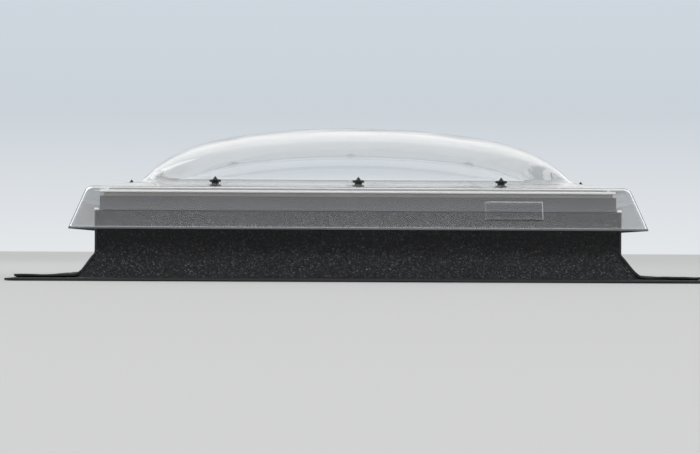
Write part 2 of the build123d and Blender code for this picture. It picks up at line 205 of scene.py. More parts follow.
def level_reach(across, along, level):
    """How far along a direction the dome keeps above a level, as a share of its half width."""
    near, far = 0.0, 1 / max(across, along)
    for _ in range(HALVINGS):
        middle = (near + far) / 2
        if crown(middle * across) * crown(middle * along) > level:
            near = middle
        else:
            far = middle
    return near


def square_reach(half, corner, across, along):
    """How far a rounded square reaches along a direction, whose larger share is 1."""
    side = min(across, along)
    if half * side <= half - corner:
        return half
    centre = half - corner
    root = centre**2 * (1 + side) ** 2 - (1 + side**2) * (2 * centre**2 - corner**2)
    return (centre * (1 + side) + sqrt(max(0.0, root))) / (1 + side**2)


def ray_of(place):
    """The direction from the middle to a place in plan, its larger share being 1."""
    larger = max(abs(place.x), abs(place.y))
    return place.x / larger, place.y / larger


class CoverSection:
    """The cover's outer section in (half width, height), outside the dome."""

    def __init__(self, sizes):
        self.sizes = sizes
        self.fall = tan(sizes.flange_slope)
        lean = tan(sizes.skirt_slope)
        height = sizes.flange_height - SKIRT_BOTTOM + (sizes.dome_half - SKIRT_HALF) * self.fall
        self.shoulder_half = SKIRT_HALF - height / (1 - lean * self.fall) * lean
        self.turn_start = sizes.flange_slope
        self.turn_end = pi / 2 - sizes.skirt_slope
        tangent = sizes.shoulder_radius * tan((self.turn_end - self.turn_start) / 2)
        self.flange_end = self.shoulder_half - tangent * cos(sizes.flange_slope)

    def flange(self, half):
        """Height and plan corner radius of the flange's top face at a half width."""
        sizes = self.sizes
        share = (half - sizes.dome_half) / (self.shoulder_half - sizes.dome_half)
        corner = blend(sizes.inner_corner, sizes.plan_corner, share)
        return sizes.flange_height - (half - sizes.dome_half) * self.fall, corner

    def outer_rings(self, start):
        """Rings from the fillet to the skirt's edge: half width, height and corner radius."""
        sizes = self.sizes
        corner = sizes.plan_corner
        rings = []
        for step in range(1, FLANGE_RINGS + 1):
            half = blend(start, self.flange_end, step / FLANGE_RINGS)
            rings.append((half, *self.flange(half)))
        radius = sizes.shoulder_radius
        middle_half = self.flange_end - radius * sin(self.turn_start)
        middle_height = self.flange(self.flange_end)[0] - radius * cos(self.turn_start)
        for step in range(1, SHOULDER_RINGS + 1):
            turn = blend(self.turn_start, self.turn_end, step / SHOULDER_RINGS)
            half = middle_half + radius * sin(turn)
            rings.append((half, middle_height + radius * cos(turn), corner))
        top_half, top_height = rings[-1][:2]
        for step in range(1, SKIRT_RINGS + 1):
            share = step / SKIRT_RINGS
            half = blend(top_half, SKIRT_HALF, share)
            rings.append((half, blend(top_height, SKIRT_BOTTOM, share), corner))
        return rings


def dome_shares():
    """Each dome ring's reach as a share of the half width, spread along the dome's curve."""
    fine = 4000
    reaches = [LAST_SHARE * step / fine for step in range(fine + 1)]
    points = [(reach, DOME_RISE * crown(reach)) for reach in reaches]
    lengths = [0.0]
    for (x0, z0), (x1, z1) in zip(points, points[1:]):
        length = sqrt((x1 - x0) ** 2 + (z1 - z0) ** 2)
        lengths.append(lengths[-1] + length * (1 + EDGE_WEIGHT * x0**6))
    shares, place = [], 0
    for ring in range(DOME_RINGS + 1):
        while place < fine and lengths[place] < lengths[-1] * ring / DOME_RINGS:
            place += 1
        shares.append(points[place][0])
    return shares


def extrude_rim(form):
    """Extrudes the open rim and returns the new vertices."""
    rim = [edge for edge in form.edges if edge.is_boundary]
    made = bmesh.ops.extrude_edge_only(form, edges=rim)["geom"]
    return [item for item in made if isinstance(item, bmesh.types.BMVert)]


def dome_grid(form, sizes):
    """A square grid drawn into rings of equal height, close together at the dome's steep edge."""
    cells = 2 * DOME_RINGS
    bmesh.ops.create_grid(form, x_segments=cells, y_segments=cells, size=DOME_RINGS)
    shares = dome_shares()
    rise = CROWN_TOP - sizes.dome_foot
    for vertex in form.verts:
        ring = round(max(abs(vertex.co.x), abs(vertex.co.y)))
        if ring == 0:
            vertex.co = (0, 0, CROWN_TOP)
            continue
        across, along = (
            copysign(1 - (1 - min(1.0, abs(value) / ring)) ** CORNER_WEIGHT, value)
            for value in vertex.co.xy
        )
        level = crown(shares[ring])
        reach = sizes.dome_half * level_reach(abs(across), abs(along), level)
        vertex.co = (reach * across, reach * along, sizes.dome_foot + rise * level)


def foot_curves(form, sizes, section):
    """For each vertex on the dome's edge, the three points of a curve into the flange."""
    step_back, step_on = 0.0002, 0.002  # steps that the slopes at both ends are taken over
    rise = CROWN_TOP - sizes.dome_foot
    end_half = sizes.dome_half + sizes.foot_run
    end_height, end_corner = section.flange(end_half)
    next_height, next_corner = section.flange(end_half + step_on)
    curves = {}
    for vertex in {vertex for edge in form.edges if edge.is_boundary for vertex in edge.verts}:
        across, along = ray_of(vertex.co)
        start = max(abs(vertex.co.x), abs(vertex.co.y))
        back = (start - step_back) / sizes.dome_half
        before = sizes.dome_foot + rise * crown(back * abs(across)) * crown(back * abs(along))
        slope = (vertex.co.z - before) / step_back
        end = square_reach(end_half, end_corner, abs(across), abs(along))
        beyond = square_reach(end_half + step_on, next_corner, abs(across), abs(along))
        end_slope = (next_height - end_height) / (beyond - end)
        bend = (end_height - end_slope * end - vertex.co.z + slope * start) / (slope - end_slope)
        bend = min(max(bend, blend(start, end, 0.1)), blend(start, end, 0.9))
        bend_height = end_height + end_slope * (bend - end)
        curves[vertex] = ((start, vertex.co.z), (bend, bend_height), (end, end_height))
    return curves


def add_plate(form, sizes):
    """Raises the bare plate on the outer face of the front skirt."""
    outward = Vector((0, -cos(sizes.skirt_slope), sin(sizes.skirt_slope)))
    up = Vector((0, sin(sizes.skirt_slope), cos(sizes.skirt_slope)))
    corner = Vector((0, -SKIRT_HALF, SKIRT_BOTTOM))
    sideways = Vector((1, 0, 0))

    def front_faces():
        return [
            face
            for face in form.faces
            if face.normal.dot(outward) > 0.999
            and face.calc_center_median().z < PLATE_FACES_BELOW
        ]

    for edge_place, normal in (
        (sideways * (PLATE_X - PLATE_WIDTH / 2), sideways),
        (sideways * (PLATE_X + PLATE_WIDTH / 2), sideways),
        (corner + up * (PLATE_UP - PLATE_HEIGHT / 2), up),
        (corner + up * (PLATE_UP + PLATE_HEIGHT / 2), up),
    ):
        faces = front_faces()
        edges = {edge for face in faces for edge in face.edges}
        verts = {vertex for face in faces for vertex in face.verts}
        bmesh.ops.bisect_plane(
            form, geom=[*verts, *edges, *faces], dist=1e-6, plane_co=edge_place, plane_no=normal
        )
    inside = []
    for face in front_faces():
        middle = face.calc_center_median()
        if (
            abs(middle.x - PLATE_X) < PLATE_WIDTH / 2
            and abs((middle - corner).dot(up) - PLATE_UP) < PLATE_HEIGHT / 2
        ):
            inside.append(face)
    for thickness, depth in ((PLATE_RIM, 0.0), (PLATE_BEVEL, PLATE_RAISE)):
        bmesh.ops.inset_region(
            form, faces=inside, thickness=thickness, depth=depth, use_even_offset=True
        )


class ROOFLIGHT_OT_cover(bpy.types.Operator):
    """Moulded cover: crowned dome, filleted foot, sloping flange, rounded shoulder and skirt"""

    bl_idname = "rooflight.cover"
    bl_label = "Cover"

    def execute(self, context):
        sizes = context.scene.rooflight_sizes
        section = CoverSection(sizes)
        form = bmesh.new()
        dome_grid(form, sizes)
        curves = foot_curves(form, sizes, section)
        for ring in range(1, FOOT_RINGS + 1):
            share = ring / FOOT_RINGS
            outer_curves = {}
            for vertex in extrude_rim(form):
                inner = next(v for edge in vertex.link_edges for v in edge.verts if v in curves)
                outer_curves[vertex] = curves[inner]
                across, along = ray_of(vertex.co)
                reach, height = (
                    blend(blend(first, bend, share), blend(bend, last, share), share)
                    for first, bend, last in zip(*curves[inner])
                )
                vertex.co = (reach * across, reach * along, height)
            curves = outer_curves
        for half, height, corner in section.outer_rings(sizes.dome_half + sizes.foot_run):
            for vertex in extrude_rim(form):
                across, along = ray_of(vertex.co)
                reach = square_reach(half, corner, abs(across), abs(along))
                vertex.co = (reach * across, reach * along, height)
        face_up(form)
        bmesh.ops.solidify(form, geom=form.faces[:], thickness=sizes.sheet)
        bmesh.ops.recalc_face_normals(form, faces=form.faces)
        add_plate(form, sizes)
        rim = [
            edge
            for edge in form.edges
            if edge.is_manifold
            and edge.calc_face_angle() > SHARP_ANGLE
            and edge.verts[0].co.z < SKIRT_BOTTOM + CUT_EDGE_BAND
        ]
        bmesh.ops.bevel(
            form,
            geom=rim,
            offset=CUT_EDGE_ROUND,
            segments=2,
            affect="EDGES",
            profile=0.5,
            material=-1,
        )
        cover = make_piece("moulded_cover", form, clear_acrylic(cos(sizes.skirt_slope)))
        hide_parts("dome_cover")
        return {"FINISHED"}


# Roofing felt

FELT_COLUMNS = 150
WALL_ROWS = 14
SLOPE_ROWS = 8
LAP_ROWS = 16
EAR_COLUMNS = 12
TUCK_ROWS = 4
NEAR = 1e-5
TUCK = 0.036  # how far the front and back sheets reach under the side sheets
OVERLAP = 0.0025  # how far the side sheets reach over the slope's corner
WALL_FROM = 0.06  # height from which the felt stands up the kerb's wall
SWELLS = ((0.075, 0.0011), (0.021, 0.0003))  # width and height of the felt's unevenness
EDGE_BAND = 0.03  # width of the band along the lap's outer edge that is wavy
EDGE_WANDER = 0.004


def bend_points(before, corner, after, radius, steps=5):
    """An arc that rounds one corner of a section."""
    into, out = (before - corner).normalized(), (after - corner).normalized()
    half_angle = into.angle(out) / 2
    tangent = radius / tan(half_angle)
    middle = corner + (into + out).normalized() * radius / sin(half_angle)
    points = []
    for step in range(steps + 1):
        share = step / steps
        chord = blend(corner + into * tangent, corner + out * tangent, share)
        points.append(middle + (chord - middle).normalized() * radius)
    return points


def felt_section(sizes):
    """The felt's outer face from the kerb's top to the lap's edge, as (half width, height)."""
    run, rise, thick = sizes.cant_run, sizes.cant_height, sizes.felt
    area = run * rise + thick * sqrt(run**2 + rise**2)
    top = Vector((KERB_HALF + thick, FELT_TOP - DECK))
    knee = Vector((KERB_HALF + thick, (area - rise * thick) / run))
    foot = Vector((KERB_HALF + (area - run * thick) / rise, thick))
    seam = Vector((SEAM_HALF, thick))
    edge = Vector((LAP_HALF, thick))
    knee_arc = bend_points(top, knee, foot, sizes.felt_bend)
    foot_arc = bend_points(knee, foot, edge, sizes.felt_bend)
    points = [top.lerp(knee_arc[0], step / WALL_ROWS) for step in range(WALL_ROWS)] + knee_arc
    for step in range(1, SLOPE_ROWS):
        points.append(knee_arc[-1].lerp(foot_arc[0], step / SLOPE_ROWS))
    points += [*foot_arc, foot_arc[-1].lerp(seam, 0.5)]
    return points + [seam.lerp(edge, step / LAP_ROWS) for step in range(LAP_ROWS + 1)]


def swell(x, y, z, size, seed):
    """A soft unevenness between 0 and 1."""
    return 0.5 + 0.5 * noise.noise(Vector((x / size + seed, y / size - seed, z / size)))


def felt_place(across, out, height, seed):
    """A place on the front side, moved off what the felt lies on by its slight unevenness."""
    flat = smooth_step(WALL_FROM, 0.01, height)
    soft = sum(swell(across, out, height, size, seed) * rise for size, rise in SWELLS)
    near_edge = smooth_step(LAP_HALF - EDGE_BAND, LAP_HALF, out)
    edge = (swell(across, 0, 0, 0.05, seed + 3) - 0.5) * EDGE_WANDER * near_edge
    return Vector((across, edge - out - soft * (1 - flat), height + soft * flat))


def open_edges(form, inside):
    """Open edges with both ends in a zone."""
    return [
        edge
        for edge in form.edges
        if edge.is_boundary and all(inside(vertex.co) for vertex in edge.verts)
    ]


def extrude_to(form, edges, axis, reach):
    """Extrudes open edges to a distance from the middle and returns the new far edges."""
    made = bmesh.ops.extrude_edge_only(form, edges=edges)["geom"]
    verts = {item for item in made if isinstance(item, bmesh.types.BMVert)}
    for vertex in verts:
        vertex.co[axis] = copysign(reach, vertex.co[axis])
    made_edges = [item for item in made if isinstance(item, bmesh.types.BMEdge)]
    return [edge for edge in made_edges if set(edge.verts) <= verts]


def felt_grid(rows):
    """A flat grid for one sheet; each vertex with its section point and share of the length."""
    form = bmesh.new()
    last = len(rows) - 1
    bmesh.ops.create_grid(form, x_segments=FELT_COLUMNS, y_segments=last, size=1)
    places = []
    for vertex in form.verts:
        row = round((1 - vertex.co.y) / 2 * last)
        places.append((vertex, rows[row], vertex.co.x))
    return form, places


def front_sheet(sizes, seed):
    """Over wall, cant and lap, with ears that reach under the side sheets' edges."""
    form, places = felt_grid(felt_section(sizes))
    for vertex, (out, height), share in places:
        reach = KERB_HALF + 0.0004 if height > WALL_FROM else min(out, SEAM_HALF)
        vertex.co = (share * reach, -out, height)
    ends = open_edges(form, lambda co: abs(co.x) > SEAM_HALF - NEAR and co.y < NEAR - SEAM_HALF)
    for step in range(1, EAR_COLUMNS + 1):
        ends = extrude_to(form, ends, 0, blend(SEAM_HALF, LAP_HALF, step / EAR_COLUMNS))
    tucks = open_edges(
        form, lambda co: abs(co.x) > SEAM_HALF - NEAR and abs(co.y + SEAM_HALF) < NEAR
    )
    for step in range(1, TUCK_ROWS + 1):
        tucks = extrude_to(form, tucks, 1, SEAM_HALF - TUCK * step / TUCK_ROWS)
    for vertex in form.verts:
        vertex.co = felt_place(vertex.co.x, -vertex.co.y, vertex.co.z, seed)
    return form


def side_sheet(sizes, seed):
    """Drawn at the front: its ends lie over the front sheet and show their cut edges."""
    form, places = felt_grid(felt_section(sizes))
    for vertex, (out, height), share in places:
        below_wall = 1 - smooth_step(0.048, 0.058, height)
        on_slope = smooth_step(0.004, 0.02, height)
        reach = min(out, SEAM_HALF) + OVERLAP * below_wall + 0.0006
        gap = reach * (1 - abs(share))
        wave = (swell(out, height, copysign(1.0, share), 0.032, seed + 7) - 0.4) * below_wall
        across = reach * abs(share) + wave * 0.004 * smooth_step(0.05, 0.0, gap)
        over_tuck = smooth_step(TUCK + 0.034, TUCK - 0.004, gap)
        lift = sizes.felt * over_tuck * smooth_step(0.02, 0.005, height)
        lift += (0.0016 + 0.0022 * wave) * smooth_step(0.03, 0.0, gap) * below_wall
        place = felt_place(copysign(across, share), out, height, seed)
        vertex.co = place + Vector((0, -0.8 * on_slope, 1 - 0.4 * on_slope)) * lift
    return form


class ROOFLIGHT_OT_felt(bpy.types.Operator):
    """Four sheets of mineral felt up the kerb, over the cant and out on the deck"""

    bl_idname = "rooflight.felt"
    bl_label = "Felt"

    def execute(self, context):
        sizes = context.scene.rooflight_sizes
        granules = mineral_felt(context.scene.rooflight_colours)
        bitumen = cut_bitumen()
        for turn, side in enumerate(("front", "right", "back", "left")):
            make_sheet = side_sheet if side in ("right", "left") else front_sheet
            form = make_sheet(sizes, 3.1 * turn + 0.7)
            quarter_turn(form, turn)
            bmesh.ops.translate(form, verts=form.verts, vec=(0, 0, DECK))
            face_up(form)
            sheet = make_piece(f"felt_sheet_{side}", form, granules)
            sheet.data.materials.append(bitumen)
            shell = sheet.modifiers.new("thickness", "SOLIDIFY")
            shell.thickness = sizes.felt
            shell.offset = -1
            shell.use_even_offset = True
            shell.material_offset_rim = 1
            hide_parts(f"felt_{side}")
        return {"FINISHED"}


# Wing knobs

HUB_OUTLINE = (
    (0.0, 0.0),
    (0.0038, 0.0),
    (0.0042, 0.0004),
    (0.0045, 0.0015),
    (0.0052, 0.0030),
    (0.0058, 0.0040),
    (0.0060, 0.0047),
    (0.0059, 0.0054),
    (0.0055, 0.0061),
    (0.0046, 0.0074),
    (0.0036, 0.0089),
    (0.0026, 0.0104),
    (0.0017, 0.0118),
    (0.0010, 0.0128),
    (0.0005, 0.0132),
    (0.0, 0.0133),
)
HUB_STEPS = 36
WING_ROOT = 0.0008  # distance from the knob's axis
WING_MIDDLE = 0.0031  # height above the washer
WING_HALF_WIDTHS = (0.0023, 0.0018)  # at the root and at the tip
WING_HALF_HEIGHTS = (0.0030, 0.0026)
WING_ROUNDING = 0.5  # 1 makes an egg, 0 a block


def add_hub(form, height):
    """Turned hub: narrow foot, bowl and a pointed cap."""
    scale = height / HUB_OUTLINE[-1][1]
    verts = [form.verts.new((radius, 0, rise * scale)) for radius, rise in HUB_OUTLINE]
    edges = [form.edges.new(pair) for pair in zip(verts, verts[1:])]
    bmesh.ops.spin(
        form,
        geom=[*verts, *edges],
        cent=(0, 0, 0),
        axis=(0, 0, 1),
        angle=2 * pi,
        steps=HUB_STEPS,
        use_merge=True,
        use_duplicate=False,
    )
    bmesh.ops.remove_doubles(form, verts=form.verts, dist=1e-6)


def add_wing(form, reach, side):
    """A rounded wing that tapers to its tip."""
    made = bmesh.ops.create_uvsphere(form, u_segments=28, v_segments=18, radius=1.0)["verts"]
    for vertex in made:
        x, y, z = (copysign(abs(value) ** WING_ROUNDING, value) for value in vertex.co)
        share = (x + 1) / 2
        vertex.co = (
            side * blend(WING_ROOT, reach, share),
            y * blend(*WING_HALF_WIDTHS, share),
            WING_MIDDLE + z * blend(*WING_HALF_HEIGHTS, share),
        )


class ROOFLIGHT_OT_knobs(bpy.types.Operator):
    """Twelve black wing knobs that hold the cover down"""

    bl_idname = "rooflight.knobs"
    bl_label = "Wing knobs"

    def execute(self, context):
        sizes = context.scene.rooflight_sizes
        plastic = moulded_plastic("knob_plastic", (0.0065, 0.0065, 0.0075), 0.34)
        for number in range(1, KNOB_COUNT + 1):
            low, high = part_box(f"wing_knob_{number}")
            middle = (low + high) / 2
            form = bmesh.new()
            add_hub(form, sizes.knob_height)
            for side in (-1, 1):
                add_wing(form, sizes.wing_reach, side)
            quarter_turn(form, (number - 1) // KNOBS_TO_A_SIDE)
            bmesh.ops.translate(form, verts=form.verts, vec=(middle.x, middle.y, low.z))
            bmesh.ops.recalc_face_normals(form, faces=form.faces)
            knob = make_piece(f"moulded_knob_{number}", form, plastic, body=f"knob_{number}")
            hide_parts(f"wing_knob_{number}")
        return {"FINISHED"}


# Materials


def set_stops(ramp, stops):
    """Fills a new colour ramp, which has two stops, with positions and colours."""
    elements = ramp.color_ramp.elements
    for index, (position, colour) in enumerate(stops):
        element = elements[index] if index < 2 else elements.new(position)
        element.position = position
        element.color = (*colour, 1)


class Tree:
    """Short calls for a material's nodes; a socket or a plain value may be an input."""

    def __init__(self, name):
        self.material = bpy.data.materials.new(name)
        self.material.use_nodes = True
        self.nodes = self.material.node_tree.nodes
        self.links = self.material.node_tree.links
        self.shader = self.nodes["Principled BSDF"]

    def feed(self, node, inputs):
        for key, value in inputs.items():
            if isinstance(value, bpy.types.NodeSocket):
                self.links.new(value, node.inputs[key])
            else:
                node.inputs[key].default_value = value

    def add(self, kind, inputs, **settings):
        node = self.nodes.new(kind)
        for key, value in settings.items():
            setattr(node, key, value)
        self.feed(node, inputs)
        return node

    def math(self, operation, first, second=0.0, third=0.0):
        inputs = {0: first, 1: second, 2: third}
        return self.add("ShaderNodeMath", inputs, operation=operation).outputs[0]

    def place(self):
        return self.add("ShaderNodeTexCoord", {}).outputs["Object"]

    def split(self, vector):
        return self.add("ShaderNodeSeparateXYZ", {0: vector}).outputs

    def noise(self, vector, scale, detail=3.0, roughness=0.5):
        inputs = {"Vector": vector, "Scale": scale, "Detail": detail, "Roughness": roughness}
        return self.add("ShaderNodeTexNoise", inputs).outputs[0]

    def cells(self, vector, scale):
        """Distance to the nearest cell's middle, and three random numbers of that cell."""
        outputs = self.add("ShaderNodeTexVoronoi", {"Vector": vector, "Scale": scale}).outputs
        chances = self.add("ShaderNodeSeparateColor", {0: outputs["Color"]}).outputs
        return outputs["Distance"], chances

    def ramp(self, value, *stops):
        node = self.add("ShaderNodeValToRGB", {0: value})
        set_stops(node, stops)
        return node.outputs[0]

    def fit(self, value, low, high, start, end):
        """Maps low to start and high to end, and holds both ends."""
        inputs = {"Value": value, 1: low, 2: high, 3: start, 4: end}
        return self.add("ShaderNodeMapRange", inputs).outputs[0]

    def mix(self, share, first, second):
        """A colour between two colours, which are the node's inputs 6 and 7."""
        first, second = (
            (*value, 1) if isinstance(value, tuple) else value for value in (first, second)
        )
        inputs = {0: share, 6: first, 7: second}
        return self.add("ShaderNodeMix", inputs, data_type="RGBA").outputs[2]

    def scale(self, colour, strength):
        """A colour times a strength."""
        inputs = {0: colour, 3: strength}
        return self.add("ShaderNodeVectorMath", inputs, operation="SCALE").outputs[0]

    def bump(self, height, distance, strength, normal=None):
        inputs = {"Height": height, "Distance": distance, "Strength": strength}
        if normal is not None:
            inputs["Normal"] = normal
        return self.add("ShaderNodeBump", inputs).outputs[0]

    def run(self):
        """Distance along the nearest side's profile, distance out from the middle, and height."""
        x, y, z = self.split(self.place())[:3]
        on_end = self.math("GREATER_THAN", self.math("ABSOLUTE", x), self.math("ABSOLUTE", y))
        along = self.add("ShaderNodeMix", {0: on_end, 2: x, 3: y}).outputs[0]
        across = self.add("ShaderNodeMix", {0: on_end, 2: y, 3: x}).outputs[0]
        return along, across, z

    def drawn(self, along_scale, across_scale, detail=2.0):
        """Streaks drawn out along each profile."""
        along, across, height = self.run()
        vector = self.add(
            "ShaderNodeCombineXYZ",
            {
                0: self.math("MULTIPLY", along, along_scale),
                1: self.math("MULTIPLY", across, across_scale),
                2: self.math("MULTIPLY", height, across_scale),
            },
        ).outputs[0]
        return self.noise(vector, 1.0, detail)

    def mitre(self, width):
        """1 on the line where two profiles meet at a corner, 0 away from it."""
        x, y = self.split(self.place())[:2]
        apart = self.math("SUBTRACT", self.math("ABSOLUTE", x), self.math("ABSOLUTE", y))
        return self.fit(self.math("ABSOLUTE", apart), 0.0, width, 1.0, 0.0)

    def finish(self, **inputs):
        self.feed(self.shader, {key.replace("_", " "): value for key, value in inputs.items()})
        return self.material

    def let_lamps_through(self, tint):
        """Light from lamps and sky passes the clear sheet and isn't stopped by it."""
        through = self.add("ShaderNodeBsdfTransparent", {"Color": (*tint, 1)})
        rays = self.add("ShaderNodeLightPath", {})
        choice = self.add(
            "ShaderNodeMixShader",
            {0: rays.outputs["Is Shadow Ray"], 1: self.shader.outputs[0], 2: through.outputs[0]},
        )
        self.links.new(choice.outputs[0], self.nodes["Material Output"].inputs["Surface"])
        return self.material


def plate_edges(tree, place, lean):
    """Where a painted highlight brightens the raised plate's edge, and the painted shade of the
    dark line under the plate.

    The lean is the height of one metre up the skirt.
    """
    x, y, z = tree.split(place)[:3]
    middle = SKIRT_BOTTOM + PLATE_UP * lean
    beside = tree.math("ABSOLUTE", tree.math("SUBTRACT", x, PLATE_X))
    beside = tree.math("SUBTRACT", beside, PLATE_WIDTH / 2)
    above = tree.math("ABSOLUTE", tree.math("SUBTRACT", z, middle))
    above = tree.math("SUBTRACT", above, PLATE_HEIGHT / 2 * lean)
    beyond = tree.math("MAXIMUM", beside, above)
    off_line = tree.math("ABSOLUTE", tree.math("ADD", beyond, PLATE_LINE_HALF))
    ring = tree.fit(off_line, PLATE_LINE_HALF, PLATE_LINE_HALF + 0.0004, 1.0, 0.0)
    ring = tree.math("MULTIPLY", ring, tree.math("LESS_THAN", y, FRONT_FROM))
    bottom = middle - PLATE_HEIGHT / 2 * lean
    # Painted shade: the dark line along the plate's lower edge
    under = tree.math("MULTIPLY", ring, tree.fit(z, bottom + 0.0016, bottom + 0.0024, 1.0, 0.0))
    left = PLATE_X - PLATE_WIDTH / 2
    # Painted highlight: the plate's top and side edges, fainter on the left
    light = tree.math("MULTIPLY", ring, tree.fit(x, left + 0.002, left + 0.006, 0.3, 1.0))
    return tree.math("SUBTRACT", light, under), under


def clear_acrylic(lean):
    """Clear moulded acrylic: a little uneven, with a dusty haze down the skirt that is also painted
    reflection in place of part of its reflected sky, grey on its cut edge, and a painted highlight
    and painted shade round the raised plate.
    """
    tree = Tree("clear_acrylic")
    place = tree.place()
    height = tree.split(place)[2]
    light, under = plate_edges(tree, place, lean)
    # Dusty haze down the skirt, which is also painted reflection: it stands in for part of the
    # sky's reflection, whose specular level is lowered there
    dust_film_and_painted_reflection = tree.fit(height, SKIRT_BOTTOM, SKIRT_BOTTOM + 0.065, 0.016, 0.002)
    cut_edge = tree.fit(height, SKIRT_BOTTOM + 0.0024, SKIRT_BOTTOM + 0.0042, 1.0, 0.0)
    cloud = tree.fit(tree.noise(place, 24.0, 5.0, 0.6), 0.3, 0.7, 0.8, 1.2)
    dust_and_painted_light = tree.math("MULTIPLY", dust_film_and_painted_reflection, cloud)
    # Adds the frosted cut edge, the painted highlight on the plate's edges and the painted shade
    # under it
    for zone, share in ((cut_edge, 0.72), (light, 0.15), (under, 0.9)):
        dust_and_painted_light = tree.math("MULTIPLY_ADD", zone, share, dust_and_painted_light)
    lowest = tree.fit(height, SKIRT_BOTTOM + 0.0003, SKIRT_BOTTOM + 0.0012, 1.0, 0.0)
    edge_grey = tree.mix(lowest, (0.095, 0.096, 0.1), (0.22, 0.222, 0.23))
    colour = tree.mix(cut_edge, (0.985, 0.989, 0.99), edge_grey)
    tree.finish(
        # Painted shade: near black under the plate's lower edge
        Base_Color=tree.mix(under, colour, (0.012, 0.012, 0.014)),
        Roughness=0.0,
        IOR=1.49,
        Specular_IOR_Level=tree.fit(height, SKIRT_BOTTOM + 0.066, SKIRT_BOTTOM + 0.078, 0.25, 0.5),
        Transmission_Weight=tree.math("SUBTRACT", 1.0, dust_and_painted_light),
        Normal=tree.bump(tree.noise(place, 9.0, 1.0), 0.0012, 0.22),
    )
    return tree.let_lamps_through((0.97, 0.975, 0.98))


def clear_glass():
    """Float glass with a faint green in its depth."""
    tree = Tree("clear_glass")
    tree.finish(
        Base_Color=(0.94, 0.975, 0.96, 1),
        Roughness=tree.fit(tree.noise(tree.place(), 12.0), 0.3, 0.7, 0.0, 0.012),
        IOR=1.52,
        Transmission_Weight=1.0,
    )
    return tree.let_lamps_through((0.9, 0.93, 0.92))


def mineral_felt(colours):
    """Slate granules in bitumen: dark up the wall, with painted shade from the skirt towards its
    top; lighter towards the deck from dust and painted top light; lighter behind the skirt.
    """
    tree = Tree("mineral_felt")
    place = tree.place()
    fine_height, fine = tree.cells(place, 620.0)
    lump_height, lump = tree.cells(place, 300.0)
    cloud = tree.noise(place, 7.0, 4.0, 0.6)
    height = tree.split(place)[2]
    # Painted top light and dust: the felt turns lighter towards the deck, over the cant and lap
    painted_light_and_dust_at_deck = tree.fit(height, DECK + 0.036, DECK + 0.08, 1.0, 0.0)
    ground = tree.mix(painted_light_and_dust_at_deck, tuple(colours.felt_dark), tuple(colours.felt_painted_light_and_dust))
    # The felt turns lighter above the skirt's lower edge, behind the skirt
    behind_skirt = tree.fit(height, SKIRT_BOTTOM + 0.0008, SKIRT_BOTTOM + 0.004, 0.0, 1.0)
    ground = tree.mix(behind_skirt, ground, tuple(colours.felt_behind_skirt))
    # The fine ramp holds a third of each strength, because its colours end at 1
    fine_stops = ((0.0, 0.3), (0.5, 0.55), (0.85, 1.0), (0.95, 1.9), (1.0, 3.0))
    lump_stops = ((0.0, 0.2), (0.5, 0.3), (0.8, 0.5), (1.0, 1.0))
    shade = tree.ramp(fine[0], *((position, (value / 3,) * 3) for position, value in fine_stops))
    patch = tree.ramp(lump[1], *((position, (value,) * 3) for position, value in lump_stops))
    uneven = tree.fit(cloud, 0.3, 0.7, 0.85, 1.15)
    # Painted shade: the felt darkens up the wall towards the skirt above it
    painted_shade = tree.fit(height, DECK + 0.05, DECK + 0.135, 1.0, 0.66)
    strength = tree.math("MULTIPLY", shade, 10.0)
    for share in (patch, uneven, painted_shade):
        strength = tree.math("MULTIPLY", strength, share)
    grain = tree.math("MULTIPLY_ADD", lump_height, 0.6, fine_height)
    return tree.finish(
        Base_Color=tree.scale(ground, strength),
        Roughness=tree.fit(fine[2], 0.0, 1.0, 0.66, 0.95),
        Specular_IOR_Level=0.3,
        Normal=tree.bump(grain, 0.0011, 0.5),
    )


def cut_bitumen():
    """Cut edge of the felt: black bitumen with a torn grain."""
    tree = Tree("cut_bitumen")
    torn = tree.noise(tree.place(), 260.0, 4.0, 0.6)
    return tree.finish(
        Base_Color=tree.ramp(torn, (0.3, (0.004, 0.004, 0.0045)), (0.7, (0.013, 0.013, 0.014))),
        Roughness=tree.fit(torn, 0.3, 0.7, 0.45, 0.8),
        Normal=tree.bump(torn, 0.0008, 0.6),
    )


def white_plastic(colours):
    """White window profile: an extruded sheen and a fine cleaned weld at each corner."""
    tree = Tree("white_plastic")
    streaks = tree.drawn(3.0, 420.0)
    weld = tree.mitre(0.0009)
    white = tuple(colours.frame_white)
    cloud = tree.fit(tree.noise(tree.place(), 5.0), 0.35, 0.65, 0.0, 0.5)
    body = tree.mix(cloud, white, tuple(value * 0.93 for value in white))
    return tree.finish(
        Base_Color=tree.mix(weld, body, tuple(value * 0.72 for value in white)),
        Roughness=tree.fit(streaks, 0.3, 0.7, 0.24, 0.36),
        Normal=tree.bump(weld, -0.0004, 0.7, tree.bump(streaks, 0.00006, 0.5)),
    )


def grey_cladding(colours):
    """Grey coated cladding with a faint drawn grain, and painted shade that darkens it towards the
    nosing above.
    """
    tree = Tree("grey_cladding")
    streaks = tree.drawn(4.0, 900.0, 3.0)
    grain = tree.noise(tree.place(), 1600.0, 2.0)
    grey = tuple(colours.cladding)
    lighter = tuple(value * 1.16 for value in grey)
    drawn = tree.mix(tree.fit(streaks, 0.3, 0.7, 0.0, 1.0), grey, lighter)
    low, high = (corner.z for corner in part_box("cladding_front"))
    # Painted shade: darker towards the top under the nosing, lighter towards the foot
    painted_shade = tree.fit(tree.split(tree.place())[2], low, high, 1.1, 0.5)
    return tree.finish(
        Base_Color=tree.scale(drawn, painted_shade),
        Roughness=tree.fit(streaks, 0.3, 0.7, 0.4, 0.52),
        Normal=tree.bump(grain, 0.00005, 0.5, tree.bump(streaks, 0.00008, 0.5)),
    )


